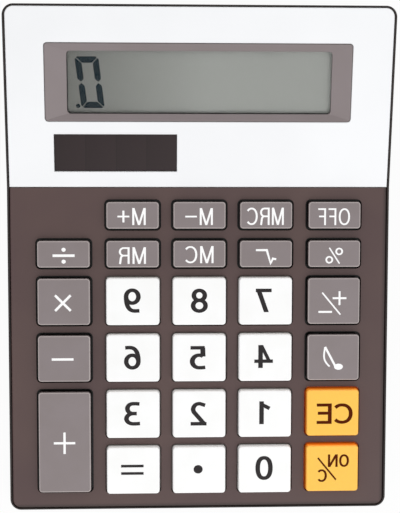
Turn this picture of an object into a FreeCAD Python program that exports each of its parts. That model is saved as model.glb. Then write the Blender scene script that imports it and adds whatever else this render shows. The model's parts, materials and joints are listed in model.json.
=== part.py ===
import FreeCAD, Part
import math
import os

# Electronic desk calculator, in millimetres. X runs to the right, Y to the back and Z up.
# The origin is on the table, under the middle of the body.

# Keys
key_width = 17.4  # of a key's top, as are the lengths
small_key_length = 8.98
big_key_length = 15.52
key_corner = 1.0
key_draft = 0.2  # how far each side slopes out from the top down to the deck
key_edge_round = 0.45
key_rise = 2.6  # top of a key above the deck
key_travel = 1.5
key_wall = 1.2
key_top = 1.4
key_gap = 0.48  # between a key and the edge of its opening
grey_key_slack = 0.15  # how much wider that gap is at each side of a grey key
flange_width = 0.76
flange_thickness = 0.8
stem_radius = 2.2

# Spaces between the keys and round them
column_gap = 4.6
outer_column_gap = 5.3
memory_row_gap = 3.79
function_row_gap = 3.49
number_row_gap = 3.41
tall_key_setback = 0.55  # of the tall key's front edge behind its row's
orange_key_shift = 0.22  # of the orange keys to the back of their rows
side_margin = 9.78
front_margin = 5.85
back_margin = 4.66

# Body
deck_tilt = 5.0  # degrees
panel_tilt = 15.0  # degrees
panel_length = 59.32
front_height = 12.0
foot_height = 1.0
corner_radius = 3.6
inner_corner = 0.6  # least corner radius of an inner outline
rim_width = 0.66
rim_end_width = 0.48  # at the front and the back
rim_gap = 0.15  # between the rim and the two plates inside it
rim_round = 0.25
plate_thickness = 2.0
plate_round = 0.6
cover_round = 0.35
seam_gap = 0.2  # between the key deck and the display cover
shelf_thickness = 1.2
wall = 2.0
ledge_width = 2.5
crossbar_width = 3.0
floor_thickness = 1.8
base_round = 2.5
parting_height = 8.0
parting_groove = 0.35
tongue_thickness = 0.9
tongue_height = 1.2
slip = 0.1  # between pieces that slip into each other
rest_gap = 0.05  # between a key and what stops it

# Keypad and board
board_thickness = 1.6
dome_spare = 0.4  # height left in a dome when its key is down
board_front_space = 4.2
board_back_space = 1.5
board_side_space = 0.5  # board edge beyond the outer keys
web_thickness = 0.8
web_inset = 0.4
web_back_space = 4.0
web_slip = 0.2  # round the posts
dome_base = 4.0
dome_neck = 2.6
dome_wall = 0.6
pill_radius = 1.6
pill_gap = 0.9
post_radius = 1.6
post_hole = 0.8
board_screw_radius = 0.75
board_screw_head = 1.5
board_screw_head_height = 1.0
board_screw_length = 3.2

# Display
bezel_width = 99.4
bezel_length = 25.2
bezel_start = 21.8  # up the panel from the seam
bezel_shift = -0.45
bezel_left = 7.05
bezel_right = 6.35
bezel_front = 2.25
bezel_back = 2.6
bezel_lip = 0.35
bezel_drop = 1.2  # depth of the slopes
bezel_depth = 2.2
bezel_corner = 1.0
window_corner = 1.2
bezel_gap = 0.12
lens_margin = 1.6
lens_thickness = 0.6
display_gap = 0.3  # air between the window and the display
film_thickness = 0.2
film_margin = 1.0
glass_thickness = 0.7  # each of the two panes
glass_margin = 3.4
contact_ledge = 3.4
reflector_thickness = 0.3
holder_wall = 1.4
holder_back = 1.4
holder_gap = 0.3
ear_length = 4.6
ear_width = 5.4
ear_thickness = 1.2
holder_screw_radius = 0.75
holder_screw_length = 3.0
ribbon_thickness = 0.25
ribbon_width = 42.0
ribbon_shift = 22.0
ribbon_bond = 2.0
ribbon_free = 1.0  # straight stretch before each bend

# Solar cell
solar_width = 39.85
solar_length = 12.05
solar_thickness = 1.2
solar_left = 47.4  # left edge, from the middle of the body
solar_start = 5.35
solar_gap = 0.15
lead_hole = 1.0
lead_hole_inset = 3.0
window_chamfer = 0.15

# Battery bay and door
cell_radius = 7.25
cell_length = 49.5
nub_radius = 2.75
nub_length = 1.0
cell_clearance = 0.4
contact_thickness = 0.5
contact_width = 10.0
contact_height = 11.0
tab_width = 3.0
tab_rise = 2.0
spring_length = 5.0
spring_small = 2.4
spring_large = 4.4
spring_turns = 3.5
spring_wire = 0.7
bay_wall = 1.2
bay_back_space = 1.5
door_side = 2.0  # door beyond the bay on each side
door_front = 2.5  # door beyond the bay at the front
door_gap = 0.15
door_tongue = 1.5
door_tongue_thickness = 0.8
door_tongue_end = 3.4
rail_width = 2.0
rail_height = 2.0
grip_count = 5
grip_width = 18.0
grip_pitch = 2.0
grip_groove = 0.9
grip_depth = 0.5
grip_start = 5.0

# Case screws and feet
screw_inset = 5.8
screw_inset_end = 9.0
case_boss_radius = 2.75
base_boss_radius = 3.4
base_boss_height = 1.8
screw_hole = 1.1
screw_radius = 1.05
screw_clear_radius = 1.3
screw_head_radius = 2.3
screw_head_height = 1.5
counterbore_radius = 2.6
counterbore_depth = 2.2
screw_length = 6.4
head_round = 0.33  # of a head's height
pilot_extra = 0.4
cross_length = 2.6
cross_width = 0.6
cross_depth = 0.8
foot_radius = 4.5
foot_recess = 0.6
foot_round = 0.3
foot_inset = 14.0
foot_inset_end = 20.0

# Board parts, buzzer and leads
blob_radius = 6.0
blob_height = 1.5
blob_from_back = 16.0
capacitor_radius = 2.5
capacitor_height = 7.0
capacitor_round = 0.4
capacitor_x = 22.0
capacitor_from_back = 14.0
chip_resistor_length = 2.0
chip_resistor_width = 1.25
chip_resistor_height = 0.5
chip_resistor_count = 4
chip_resistor_pitch = 4.0
diode_radius = 0.9
diode_length = 3.6
diode_x = -20.0
buzzer_radius = 13.5
buzzer_ceramic_radius = 10.0
buzzer_thickness = 0.25
buzzer_from_side = 28.1
buzzer_from_break = 13.0
buzzer_ring = 1.0
buzzer_ring_height = 1.2
buzzer_ring_gap = 0.3
lead_radius = 0.5
lead_from_back = 4.5
lead_rise = 4.0
lead_arc_share = 0.45  # of the shorter run beside each bend
lead_bow = 5.0  # behind the break, where a lead turns down to the board
lead_bow_height = 5.5  # above the floor
bay_lead_clearance = 3.0
bay_lead_drop = 13.0
bay_lead_height = 9.6
buzzer_lead_shift = 1.5

vector = FreeCAD.Vector
reach = 400.0  # longer than the body, for cutting blocks
overshoot = 1.0  # how far a cut runs past a face
tolerance = 0.01  # for finding edges

# Key names from left to right, one line for each row, from the back to the front
key_names = (
    (None, "key_m_plus", "key_m_minus", "key_mrc", "key_off"),
    ("key_divide", "key_mr", "key_mc", "key_root", "key_percent"),
    ("key_times", "key_9", "key_8", "key_7", "key_sign"),
    ("key_minus", "key_6", "key_5", "key_4", "key_sound"),
    ("key_plus", "key_3", "key_2", "key_1", "key_ce"),
    (None, "key_equals", "key_point", "key_0", "key_on_c"),
)
tall_key = "key_plus"
orange_keys = ("key_ce", "key_on_c")
white_keys = [name for names in key_names[2:] for name in names[1:4]]

# Places that follow from the sizes above
inner_pitch = key_width + column_gap
outer_x = inner_pitch + key_width + outer_column_gap
column_x = (-outer_x, -inner_pitch, 0.0, inner_pitch, outer_x)
row_lengths = (small_key_length,) * 2 + (big_key_length,) * 4
row_gaps = (memory_row_gap, function_row_gap) + (number_row_gap,) * 3
row_starts = [back_margin]
for previous_length, gap_after in zip(row_lengths, row_gaps):
    row_starts.append(row_starts[-1] + previous_length + gap_after)
deck_length = row_starts[-1] + row_lengths[-1] + front_margin
deck_angle = math.radians(deck_tilt)
panel_angle = math.radians(panel_tilt)
body_width = 2 * (outer_x + key_width / 2 + side_margin)
body_length = deck_length * math.cos(deck_angle) + panel_length * math.cos(panel_angle)
half_width = body_width / 2
front_y = -body_length / 2
back_y = body_length / 2
break_y = front_y + deck_length * math.cos(deck_angle)
break_z = front_height + deck_length * math.sin(deck_angle)
floor_top = foot_height + floor_thickness
board_half = outer_x + key_width / 2 + board_side_space
flange_top = -plate_thickness - rest_gap
flange_bottom = flange_top - flange_thickness
dome_top = flange_bottom - rest_gap
board_depth = key_travel + dome_spare + web_thickness - dome_top  # below the deck's surface
board_bottom = -board_depth - board_thickness
shelf_bottom = -plate_thickness - shelf_thickness
bezel_x = (bezel_shift - bezel_width / 2, bezel_shift + bezel_width / 2)
bezel_y = (bezel_start, bezel_start + bezel_length)
window_x = (bezel_x[0] + bezel_left, bezel_x[1] - bezel_right)
window_y = (bezel_y[0] + bezel_front, bezel_y[1] - bezel_back)
solar_x = (-solar_left, -solar_left + solar_width)
solar_y = (solar_start, solar_start + solar_length)
glass_top = -bezel_depth - lens_thickness - display_gap - film_thickness
glass_bottom = glass_top - 2 * glass_thickness
holder_bottom = glass_bottom - reflector_thickness - holder_back
glass_x = (window_x[0] - glass_margin, window_x[1] + glass_margin)
glass_y = (window_y[0] - glass_margin - contact_ledge, window_y[1] + glass_margin)
holder_x = (glass_x[0] - holder_gap - holder_wall, glass_x[1] + holder_gap + holder_wall)
holder_y = (glass_y[0] - holder_gap - holder_wall, glass_y[1] + holder_gap + holder_wall)
cell_y = back_y - wall - bay_back_space - bay_wall - cell_clearance - cell_radius
cell_z = floor_top + cell_clearance + cell_radius
bay_half = (cell_length + nub_length + spring_length + 2 * contact_thickness) / 2
bay_y = (cell_y - cell_radius - cell_clearance, cell_y + cell_radius + cell_clearance)
bay_top = cell_z + cell_radius + cell_clearance
door_half = bay_half + door_side
door_front_y = bay_y[0] - door_front
tongue_half = door_half + door_tongue
screw_x = half_width - screw_inset
screw_y = (front_y + screw_inset_end, back_y - screw_inset_end)
foot_x = half_width - foot_inset
foot_y = (front_y + foot_inset_end, back_y - foot_inset_end)
base_boss_top = floor_top + base_boss_height
buzzer_x = buzzer_from_side - half_width
buzzer_y = break_y + buzzer_from_break
ribbon_x = (ribbon_shift - ribbon_width / 2, ribbon_shift + ribbon_width / 2)


def box(x_range, y_range, z_range):
    size = [pair[1] - pair[0] for pair in (x_range, y_range, z_range)]
    return Part.makeBox(size[0], size[1], size[2], vector(x_range[0], y_range[0], z_range[0]))


def cylinder(radius, x, y, z_range):
    return Part.makeCylinder(radius, z_range[1] - z_range[0], vector(x, y, z_range[0]))


# A closed outline with four round corners, level at height z
def rounded_outline(x_range, y_range, z, radius):
    corners = (
        (x_range[1] - radius, y_range[0] + radius, -90),
        (x_range[1] - radius, y_range[1] - radius, 0),
        (x_range[0] + radius, y_range[1] - radius, 90),
        (x_range[0] + radius, y_range[0] + radius, 180),
    )
    arcs = [
        Part.makeCircle(radius, vector(x, y, z), vector(0, 0, 1), start, start + 90)
        for x, y, start in corners
    ]
    edges = []
    for arc, following in zip(arcs, arcs[1:] + arcs[:1]):
        edges.append(arc)
        edges.append(Part.makeLine(arc.Vertexes[-1].Point, following.Vertexes[0].Point))
    return Part.Wire(edges)


def rounded_block(x_range, y_range, z_range, radius):
    outline = rounded_outline(x_range, y_range, z_range[0], radius)
    return Part.Face(outline).extrude(vector(0, 0, z_range[1] - z_range[0]))


def grown(pair, amount):
    return (pair[0] - amount, pair[1] + amount)


def middle(pair):
    return (pair[0] + pair[1]) / 2


# A solid with a constant section across the body, from points (y, z)
def section_across(points, x_range):
    corners = [vector(x_range[0], y, z) for y, z in points]
    outline = Part.makePolygon(corners + corners[:1])
    return Part.Face(outline).extrude(vector(x_range[1] - x_range[0], 0, 0))


def fused(shapes):
    return shapes[0].multiFuse(shapes[1:]).removeSplitter()


def group(shapes):
    return Part.makeCompound(shapes)


# The body's plan outline as a block, moved in from the outer face by inset, at the ends by end_inset
def body_block(inset, z_range, end_inset=None):
    if end_inset is None:
        end_inset = inset
    return rounded_block(
        (-half_width + inset, half_width - inset),
        (front_y + end_inset, back_y - end_inset),
        z_range,
        max(corner_radius - inset, inner_corner),
    )


# Height of the sloping top at y, or of a surface at a depth square below it
def top_height(y, depth=0.0):
    deck = break_z + (y - break_y) * math.tan(deck_angle) - depth / math.cos(deck_angle)
    panel = break_z + (y - break_y) * math.tan(panel_angle) - depth / math.cos(panel_angle)
    return max(deck, panel)


# Everything lower than a depth below the sloping top
def under_top(depth=0.0):
    slopes = math.tan(panel_angle) - math.tan(deck_angle)
    corner_y = break_y + depth * (1 / math.cos(panel_angle) - 1 / math.cos(deck_angle)) / slopes
    points = (
        (-reach, -reach),
        (reach, -reach),
        (reach, top_height(reach, depth)),
        (corner_y, top_height(corner_y, depth)),
        (-reach, top_height(-reach, depth)),
    )
    return section_across(points, (-reach, reach))


def placed(shape, angle):
    moved = shape.copy()
    moved.rotate(vector(0, 0, 0), vector(1, 0, 0), angle)
    moved.translate(vector(0, break_y, break_z))
    return moved


# Local frames: x as in the body, y up the slope from the seam, z square out of the surface
def on_deck(shape):
    return placed(shape, deck_tilt)


def on_panel(shape):
    return placed(shape, panel_tilt)


def point_on(angle, x, along, out):
    return vector(
        x,
        break_y + along * math.cos(angle) - out * math.sin(angle),
        break_z + along * math.sin(angle) + out * math.cos(angle),
    )


def edges_with(shape, test):
    return [e for e in shape.Edges if all(test(v.Point) for v in e.Vertexes)]


# Each key as (name, x, (low y, high y), [stem y, ...]) in the deck's frame
def key_places():
    places = []
    for row, names in enumerate(key_names):
        for x, name in zip(column_x, names):
            if name is None:
                continue
            rows = [row, row + 1] if name == tall_key else [row]
            shift = orange_key_shift if name in orange_keys else 0.0
            setback = tall_key_setback if name == tall_key else 0.0
            low = -row_starts[rows[-1]] - row_lengths[rows[-1]] + setback + shift
            stems = [-row_starts[r] - row_lengths[r] / 2 + shift for r in rows]
            places.append((name, x, (low, -row_starts[rows[0]] + shift), stems))
    return places


# Where the posts of the deck stand, in the middle of the crossings between keys
def post_places():
    outer_gap_x = outer_x - key_width / 2 - outer_column_gap / 2
    inner_gap_x = key_width / 2 + column_gap / 2
    places = []
    for row, gap in enumerate(row_gaps):
        x = inner_gap_x if row % 2 else outer_gap_x
        y = -row_starts[row] - row_lengths[row] - gap / 2
        places += [(-x, y), (x, y)]
    return places


def case_screw_places():
    return [(x, y) for x in (-screw_x, screw_x) for y in screw_y]


def foot_places():
    return [(x, y) for x in (-foot_x, foot_x) for y in foot_y]


# Ears of the display holder, as (x of the screw, direction of the ear, y)
def ear_places():
    ears = []
    for y in (holder_y[0] + ear_width, holder_y[1] - ear_width):
        ears.append((holder_x[0] - ear_length / 2, -1, y))
        ears.append((holder_x[1] + ear_length / 2, 1, y))
    return ears


# The slack narrows the cap, but its flange under the deck keeps its size
def key_cap(x, y_range, stems, slack):
    x_range = (x - key_width / 2 + slack, x + key_width / 2 - slack)
    y_range = grown(y_range, -slack)
    foot = rounded_block(
        grown(x_range, key_draft), grown(y_range, key_draft), (flange_bottom, 0), key_corner + key_draft
    )
    outlines = [
        rounded_outline(grown(x_range, amount), grown(y_range, amount), z, key_corner + amount)
        for amount, z in ((key_draft, 0), (0, key_rise))
    ]
    body = fused([foot, Part.makeLoft(outlines, True, True)])
    body = body.makeFillet(key_edge_round, edges_with(body, lambda p: p.z > key_rise - tolerance))
    spread = key_draft + flange_width + slack
    flange = rounded_block(
        grown(x_range, spread),
        grown(y_range, spread),
        (flange_bottom, flange_top),
        key_corner + spread,
    )
    hollow = box(
        grown(x_range, -key_wall),
        grown(y_range, -key_wall),
        (flange_bottom, key_rise - key_top),
    )
    stem_height = (flange_bottom, key_rise - key_top)
    posts = [cylinder(stem_radius, x, y, stem_height) for y in stems]
    return on_deck(fused([fused([body, flange]).cut(hollow)] + posts))


def plate(y_range):
    block = body_block(rim_width + rim_gap, (0, reach), rim_end_width + rim_gap)
    slab = block.common(under_top()).cut(under_top(plate_thickness))
    return slab.common(box((-reach, reach), y_range, (-reach, reach)))


def on_top(point):
    return abs(point.z - top_height(point.y)) < tolerance


def make_key_deck():
    seam_y = break_y - seam_gap / 2
    deck = plate((-reach, seam_y))
    outer_edges = [
        e for e in edges_with(deck, on_top) if e.CenterOfMass.y < seam_y - tolerance
    ]
    deck = deck.makeFillet(plate_round, outer_edges)
    spread = key_draft + key_gap
    openings = [
        rounded_block(
            (x - key_width / 2 - spread, x + key_width / 2 + spread),
            grown(y_range, spread),
            (-plate_thickness - overshoot, overshoot),
            key_corner + spread,
        )
        for name, x, y_range, stems in key_places()
    ]
    deck = deck.cut(on_deck(group(openings)))
    post_height = (-board_depth, -plate_thickness)
    posts = [cylinder(post_radius, x, y, post_height) for x, y in post_places()]
    holes = [cylinder(post_hole, x, y, post_height) for x, y in post_places()]
    return fused([deck, on_deck(group(posts))]).cut(on_deck(group(holes)))


def make_display_cover():
    cover = plate((break_y + seam_gap / 2, reach))
    cover = cover.makeFillet(cover_round, edges_with(cover, on_top))
    through = (-plate_thickness - overshoot, overshoot)
    bezel_hole = rounded_block(
        grown(bezel_x, bezel_gap), grown(bezel_y, bezel_gap), through, bezel_corner + bezel_gap
    )
    solar_hole = box(grown(solar_x, solar_gap), grown(solar_y, solar_gap), through)
    cover = cover.cut(on_panel(group([bezel_hole, solar_hole])))
    inside = on_panel(
        box(
            grown(bezel_x, overshoot),
            (solar_y[0] - overshoot, bezel_y[1] + overshoot),
            (-overshoot, overshoot),
        )
    )
    hole_edges = [
        e for e in edges_with(cover, on_top) if inside.isInside(e.CenterOfMass, tolerance, True)
    ]
    return cover.makeChamfer(window_chamfer, hole_edges)


def make_upper_case():
    shell = body_block(0, (parting_height, reach)).common(under_top())
    outer_edges = edges_with(shell, on_top)
    shell = shell.makeFillet(rim_round, outer_edges)
    low_edges = edges_with(shell, lambda p: p.z < parting_height + tolerance)
    shell = shell.makeChamfer(parting_groove, low_edges)
    recess = body_block(rim_width, (0, reach), rim_end_width).cut(under_top(plate_thickness))
    cavity = body_block(wall, (0, reach)).common(under_top(-shelf_bottom))
    window_depth = wall + ledge_width
    deck_window = body_block(window_depth, (0, reach)).common(
        box((-reach, reach), (-reach, break_y - crossbar_width), (-reach, reach))
    )
    rebate = body_block(
        wall - tongue_thickness - slip,
        (parting_height - overshoot, parting_height + tongue_height + slip),
    )
    shell = shell.cut(recess).cut(cavity).cut(deck_window).cut(rebate)
    boss_base = base_boss_top
    pillars = [
        cylinder(case_boss_radius, x, y, (boss_base, reach)).common(under_top(plate_thickness))
        for x, y in case_screw_places()
    ]
    pilots = [
        cylinder(screw_hole, x, y, (boss_base, screw_tip() + pilot_extra))
        for x, y in case_screw_places()
    ]
    ear_top = ear_level() + ear_thickness
    hole_top = ear_level() + holder_screw_length + pilot_extra
    stubs = [
        on_panel(cylinder(post_radius, x, y, (ear_top, shelf_bottom)))
        for x, side, y in ear_places()
    ]
    stub_holes = [
        on_panel(cylinder(post_hole, x, y, (ear_top, hole_top))) for x, side, y in ear_places()
    ]
    shell = fused([shell] + pillars + stubs).cut(group(pilots + stub_holes))
    bezel_pocket = rounded_block(
        grown(bezel_x, bezel_gap),
        grown(bezel_y, bezel_gap),
        (-bezel_depth, overshoot),
        bezel_corner + bezel_gap,
    )
    lens_hole = box(
        grown(window_x, lens_margin + slip),
        grown(window_y, lens_margin + slip),
        (shelf_bottom - overshoot, 0),
    )
    lead_holes = [
        cylinder(lead_hole, x, y, (shelf_bottom - overshoot, 0)) for x, y in solar_lead_places()
    ]
    return shell.cut(on_panel(bezel_pocket)).cut(on_panel(group([lens_hole] + lead_holes)))


def solar_lead_places():
    y = middle(solar_y)
    return [(solar_x[0] + lead_hole_inset, y), (solar_x[1] - lead_hole_inset, y)]


# Underside of the holder's ears, in the panel's frame
def ear_level():
    return glass_bottom - reflector_thickness - ear_thickness


def screw_seat():
    return foot_height + counterbore_depth


def screw_tip():
    return screw_seat() + screw_length


def base_shape():
    block = body_block(0, (foot_height, parting_height))
    low_edges = edges_with(block, lambda p: p.z < foot_height + tolerance)
    return block.makeFillet(base_round, low_edges)


def make_lower_case():
    base = base_shape()
    high_edges = edges_with(base, lambda p: p.z > parting_height - tolerance)
    base = base.makeChamfer(parting_groove, high_edges)
    base = base.cut(body_block(wall, (floor_top, reach)))
    tongue = body_block(wall - tongue_thickness, (floor_top, parting_height + tongue_height))
    tongue = tongue.cut(body_block(wall, (0, reach)))
    bosses = [
        cylinder(base_boss_radius, x, y, (foot_height + foot_recess, base_boss_top))
        for x, y in case_screw_places()
    ]
    ring = cylinder(
        buzzer_radius + buzzer_ring_gap + buzzer_ring,
        buzzer_x,
        buzzer_y,
        (foot_height + foot_recess, floor_top + buzzer_ring_height),
    )
    ring = ring.cut(
        cylinder(buzzer_radius + buzzer_ring_gap, buzzer_x, buzzer_y, (floor_top, reach))
    )
    base = fused([base, tongue] + bosses + [ring])
    cuts = [door_way()]
    for x, y in case_screw_places():
        cuts.append(cylinder(counterbore_radius, x, y, (0, screw_seat())))
        cuts.append(cylinder(screw_clear_radius, x, y, (0, reach)))
    for x, y in foot_places():
        cuts.append(cylinder(foot_radius + slip, x, y, (0, foot_height + foot_recess)))
    base = base.cut(group(cuts))
    return fused([base, battery_bay()])


# The way that the battery door slides in, with its side grooves, open at the back
def door_way():
    y_range = (door_front_y - door_gap, reach)
    plate_way = box(
        (-door_half - door_gap, door_half + door_gap), y_range, (0, floor_top + door_gap)
    )
    tongue_way = box(
        (-tongue_half - door_gap, tongue_half + door_gap),
        y_range,
        (floor_top - door_tongue_thickness - door_gap, floor_top + door_gap),
    )
    return plate_way.fuse(tongue_way)


def battery_bay():
    low = floor_top + door_gap
    outer = box(
        (-bay_half - bay_wall, bay_half + bay_wall),
        grown(bay_y, bay_wall),
        (low, bay_top + bay_wall),
    )
    inner = box((-bay_half, bay_half), bay_y, (0, bay_top))
    slots = [
        box(
            (x - contact_thickness / 2 - slip, x + contact_thickness / 2 + slip),
            (cell_y - tab_width / 2 - slip, cell_y + tab_width / 2 + slip),
            (bay_top - overshoot, bay_top + bay_wall + overshoot),
        )
        for x in contact_x()
    ]
    rails = []
    rail_end = tongue_half + door_gap + rail_width
    rail_y = (door_front_y, bay_y[1] + bay_wall)
    for side in (-1, 1):
        rails.append(box(ordered(side * bay_half, side * rail_end), rail_y, (low, low + rail_height)))
        foot_range = ordered(side * (tongue_half + door_gap), side * rail_end)
        rails.append(box(foot_range, rail_y, (floor_top, low)))
    return fused([outer] + rails).cut(inner).cut(group(slots))


def ordered(a, b):
    return (min(a, b), max(a, b))


def contact_x():
    return (-bay_half + contact_thickness / 2, bay_half - contact_thickness / 2)


def make_battery_door():
    door = base_shape().common(
        box((-door_half, door_half), (door_front_y, reach), (0, floor_top))
    )
    tongues = box(
        (-tongue_half, tongue_half),
        (door_front_y, back_y - door_tongue_end),
        (floor_top - door_tongue_thickness, floor_top),
    )
    grooves = [
        box(
            (-grip_width / 2, grip_width / 2),
            (door_front_y + grip_start + index * grip_pitch,
             door_front_y + grip_start + index * grip_pitch + grip_groove),
            (0, foot_height + grip_depth),
        )
        for index in range(grip_count)
    ]
    return fused([door, tongues]).cut(group(grooves))


# A contact plate against the end of the bay, with its tab through the roof
def contact_plate(x):
    x_range = (x - contact_thickness / 2, x + contact_thickness / 2)
    face = box(
        x_range,
        (cell_y - contact_width / 2, cell_y + contact_width / 2),
        (cell_z - contact_height / 2, cell_z + contact_height / 2),
    )
    tab = box(
        x_range,
        (cell_y - tab_width / 2, cell_y + tab_width / 2),
        (cell_z, bay_top + bay_wall + tab_rise),
    )
    return fused([face, tab])


def make_battery_spring():
    height = spring_length - spring_wire
    cone = math.degrees(math.atan((spring_large - spring_small) / height))
    helix = Part.makeHelix(height / spring_turns, height, spring_small, cone)
    ring = Part.makeCircle(spring_wire / 2, vector(spring_small, 0, 0), vector(0, 1, 0))
    coil = Part.Wire(helix.Edges).makePipeShell([Part.Wire(ring)], True, True)
    coil.rotate(vector(0, 0, 0), vector(0, 1, 0), -90)
    coil.translate(vector(-bay_half + contact_thickness + spring_length - spring_wire / 2, cell_y, cell_z))
    return group([contact_plate(contact_x()[0]), coil])


def make_battery_cell():
    start = -bay_half + contact_thickness + spring_length
    can = Part.makeCylinder(cell_radius, cell_length, vector(start, cell_y, cell_z), vector(1, 0, 0))
    nub_start = vector(start + cell_length, cell_y, cell_z)
    nub = Part.makeCylinder(nub_radius, nub_length, nub_start, vector(1, 0, 0))
    return fused([can, nub])


def make_display_bezel():
    frame = rounded_block(bezel_x, bezel_y, (-bezel_depth, 0), bezel_corner)
    lip_x = grown(bezel_x, -bezel_lip)
    lip_y = grown(bezel_y, -bezel_lip)
    levels = []
    for x_range, y_range, z in ((lip_x, lip_y, 0), (window_x, window_y, -bezel_drop)):
        corners = [
            vector(x_range[i], y_range[j], z) for i, j in ((0, 0), (1, 0), (1, 1), (0, 1), (0, 0))
        ]
        levels.append(Part.makePolygon(corners))
    slopes = Part.makeLoft(levels, True, True)
    window = rounded_block(window_x, window_y, (-bezel_depth, 0), window_corner)
    return on_panel(frame.cut(slopes).cut(window))


def make_display_window():
    top = -bezel_depth
    return on_panel(
        box(grown(window_x, lens_margin), grown(window_y, lens_margin), (top - lens_thickness, top))
    )


def make_lcd_polariser():
    return on_panel(
        box(grown(window_x, film_margin), grown(window_y, film_margin), (glass_top, glass_top + film_thickness))
    )


# Two panes of glass: the lower one sticks out at the front to carry the contacts
def make_lcd_glass():
    upper_y = (glass_y[0] + contact_ledge, glass_y[1])
    upper = box(glass_x, upper_y, (glass_top - glass_thickness, glass_top))
    lower = box(glass_x, glass_y, (glass_bottom, glass_bottom + glass_thickness))
    return on_panel(group([upper, lower]))


def make_lcd_reflector():
    return on_panel(
        box(
            grown(window_x, film_margin),
            grown(window_y, film_margin),
            (glass_bottom - reflector_thickness, glass_bottom),
        )
    )


def make_lcd_holder():
    tray = box(holder_x, holder_y, (holder_bottom, shelf_bottom))
    pocket = box(
        grown(holder_x, -holder_wall),
        grown(holder_y, -holder_wall),
        (glass_bottom - reflector_thickness, shelf_bottom),
    )
    ribbon_way = box(
        (ribbon_x[0] - holder_gap, ribbon_x[1] + holder_gap),
        (holder_y[0], middle(holder_y)),
        (glass_bottom, shelf_bottom),
    )
    ears = []
    holes = []
    for x, side, y in ear_places():
        inner = x - side * ear_length / 2 - side * holder_wall / 2
        outer = x + side * ear_length / 2
        ears.append(
            box(
                ordered(inner, outer),
                (y - ear_width / 2, y + ear_width / 2),
                (ear_level(), ear_level() + ear_thickness),
            )
        )
        holes.append(cylinder(holder_screw_radius + slip, x, y, (ear_level(), 0)))
    return on_panel(fused([tray] + ears).cut(pocket).cut(ribbon_way).cut(group(holes)))


# From the display's contact ledge, under the shelf, to the back edge of the board
def make_ribbon():
    ledge_level = glass_bottom + glass_thickness
    faces = []
    for out in (0, ribbon_thickness):
        faces.append(
            [
                point_on(panel_angle, 0, glass_y[0] + ribbon_bond, ledge_level + out),
                point_on(panel_angle, 0, holder_y[0] - ribbon_free, ledge_level + out),
                point_on(deck_angle, 0, ribbon_free - board_back_space, out - board_depth),
                point_on(deck_angle, 0, -board_back_space - ribbon_bond, out - board_depth),
            ]
        )
    points = [(p.y, p.z) for p in faces[0] + faces[1][::-1]]
    return section_across(points, ribbon_x)


def make_solar_cell():
    bottom = -plate_thickness
    return on_panel(box(solar_x, solar_y, (bottom, bottom + solar_thickness)))


# One silicone sheet with a dome under every stem
def make_rubber_keypad():
    web_bottom = -board_depth
    web_top = web_bottom + web_thickness
    neck = middle((web_top, dome_top))
    web = box(
        (-board_half + web_inset, board_half - web_inset),
        (-deck_length + board_front_space + web_inset, -web_back_space),
        (web_bottom, web_top),
    )
    hollow_height = neck - dome_wall - web_bottom
    domes = []
    hollows = []
    pills = []
    for x, y in [(x, y) for name, x, y_range, stems in key_places() for y in stems]:
        domes.append(Part.makeCone(dome_base, dome_neck, neck - web_top, vector(x, y, web_top)))
        domes.append(cylinder(stem_radius, x, y, (neck, dome_top)))
        inner_radii = (dome_base - dome_wall, dome_neck - dome_wall)
        hollows.append(Part.makeCone(*inner_radii, hollow_height, vector(x, y, web_bottom)))
        pills.append(cylinder(pill_radius, x, y, (web_bottom + pill_gap, neck)))
    holes = [
        cylinder(post_radius + web_slip, x, y, (web_bottom, web_top)) for x, y in post_places()
    ]
    sheet = web.multiFuse(domes).cut(group(hollows)).multiFuse(pills).cut(group(holes))
    return on_deck(sheet.removeSplitter())


def make_main_board():
    board = box(
        (-board_half, board_half),
        (-deck_length + board_front_space, -board_back_space),
        (board_bottom, -board_depth),
    )
    holes = [
        cylinder(board_screw_radius + slip, x, y, (board_bottom, -board_depth))
        for x, y in post_places()
    ]
    return on_deck(board.cut(group(holes)))


# A pan-head screw that points up, with its head's upper face at z
def screw(radius, length, head_radius, head_height, x, y, z):
    head = cylinder(head_radius, x, y, (z - head_height, z))
    low_edges = edges_with(head, lambda p: p.z < z - head_height / 2)
    head = head.makeFillet(head_height * head_round, low_edges)
    body = fused([head, cylinder(radius, x, y, (z, z + length))])
    arm = cross_length * head_radius / screw_head_radius / 2
    half = cross_width / 2
    depth = (z - head_height, z - head_height + min(cross_depth, head_height / 2))
    cross = [
        box((x - arm, x + arm), (y - half, y + half), depth),
        box((x - half, x + half), (y - arm, y + arm), depth),
    ]
    return body.cut(cross[0].fuse(cross[1]))


def make_board_screws():
    return on_deck(
        group(
            [
                screw(
                    board_screw_radius,
                    board_screw_length,
                    board_screw_head,
                    board_screw_head_height,
                    x,
                    y,
                    board_bottom,
                )
                for x, y in post_places()
            ]
        )
    )


def make_holder_screws():
    return on_panel(
        group(
            [
                screw(
                    holder_screw_radius,
                    holder_screw_length,
                    board_screw_head,
                    board_screw_head_height,
                    x,
                    y,
                    ear_level(),
                )
                for x, side, y in ear_places()
            ]
        )
    )


def make_case_screws():
    return group(
        [
            screw(
                screw_radius, screw_length, screw_head_radius, screw_head_height, x, y, screw_seat()
            )
            for x, y in case_screw_places()
        ]
    )


def make_rubber_feet():
    feet = []
    for x, y in foot_places():
        foot = cylinder(foot_radius, x, y, (0, foot_height + foot_recess))
        low_edges = edges_with(foot, lambda p: p.z < tolerance)
        feet.append(foot.makeFillet(foot_round, low_edges))
    return group(feet)


def make_chip_blob():
    ball_radius = (blob_radius ** 2 + blob_height ** 2) / (2 * blob_height)
    centre_z = board_bottom - blob_height + ball_radius
    ball = Part.makeSphere(ball_radius, vector(0, -blob_from_back, centre_z))
    return on_deck(ball.common(box((-reach, reach), (-reach, reach), (-reach, board_bottom))))


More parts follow.
